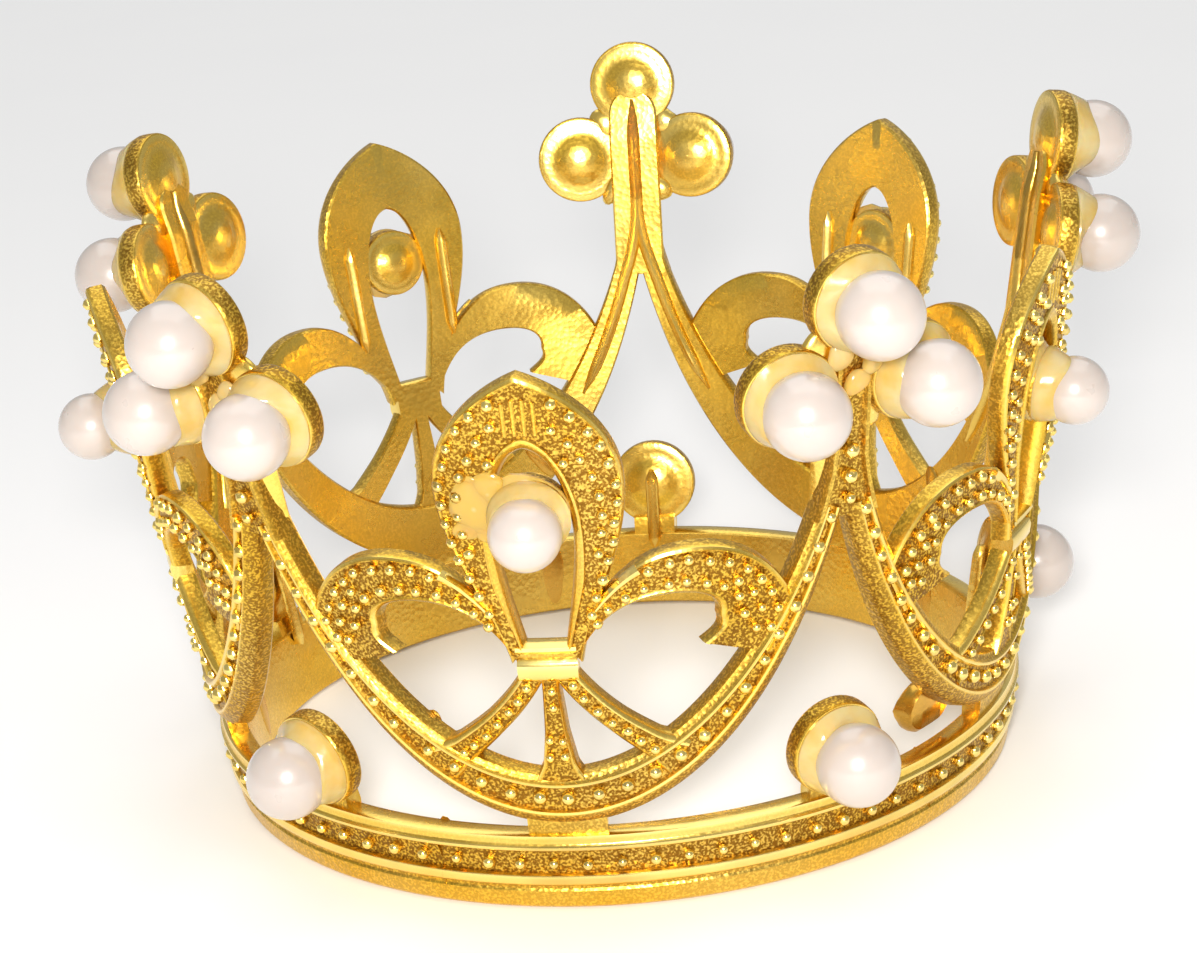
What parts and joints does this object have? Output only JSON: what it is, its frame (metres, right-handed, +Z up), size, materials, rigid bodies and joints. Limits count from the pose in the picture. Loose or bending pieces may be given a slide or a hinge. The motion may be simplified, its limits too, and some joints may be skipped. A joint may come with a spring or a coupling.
{
  "type": "hair crown",
  "caption": "Small round gilt crown for the hair, with beaded swags, fleur medallions and trefoil finials set with imitation pearls.",
  "frame": {"origin": "centre of the ring, on the plane that its base band stands on", "axes": "+Z up along the ring's axis; -Y out through the first medallion, the front; +X to the wearer's left"},
  "size_m": [0.0838, 0.0844, 0.048],
  "materials": {
    "gilt_casting": "bright gold-coloured plating over a cast alloy",
    "gilt_lug": "gold-coloured plating over solder, a little duller",
    "pearl": "pearlescent lacquer, pinkish white"
  },
  "bodies": {
    "root": {"casting_1": "gilt_casting", "casting_2": "gilt_casting", "casting_3": "gilt_casting", "casting_4": "gilt_casting", "casting_5": "gilt_casting", "closing_lug": "gilt_lug", "trefoil_pearl_left_1": "pearl", "trefoil_pearl_top_1": "pearl", "trefoil_pearl_right_1": "pearl", "base_pearl_1": "pearl", "medallion_pearl_1": "pearl", "trefoil_pearl_left_2": "pearl", "trefoil_pearl_top_2": "pearl", "trefoil_pearl_right_2": "pearl", "base_pearl_2": "pearl", "medallion_pearl_2": "pearl", "trefoil_pearl_left_3": "pearl", "trefoil_pearl_top_3": "pearl", "trefoil_pearl_right_3": "pearl", "base_pearl_3": "pearl", "medallion_pearl_3": "pearl", "trefoil_pearl_left_4": "pearl", "trefoil_pearl_top_4": "pearl", "trefoil_pearl_right_4": "pearl", "base_pearl_4": "pearl", "medallion_pearl_4": "pearl", "trefoil_pearl_left_5": "pearl", "trefoil_pearl_top_5": "pearl", "trefoil_pearl_right_5": "pearl", "base_pearl_5": "pearl", "medallion_pearl_5": "pearl"}
  },
  "joints": []
}
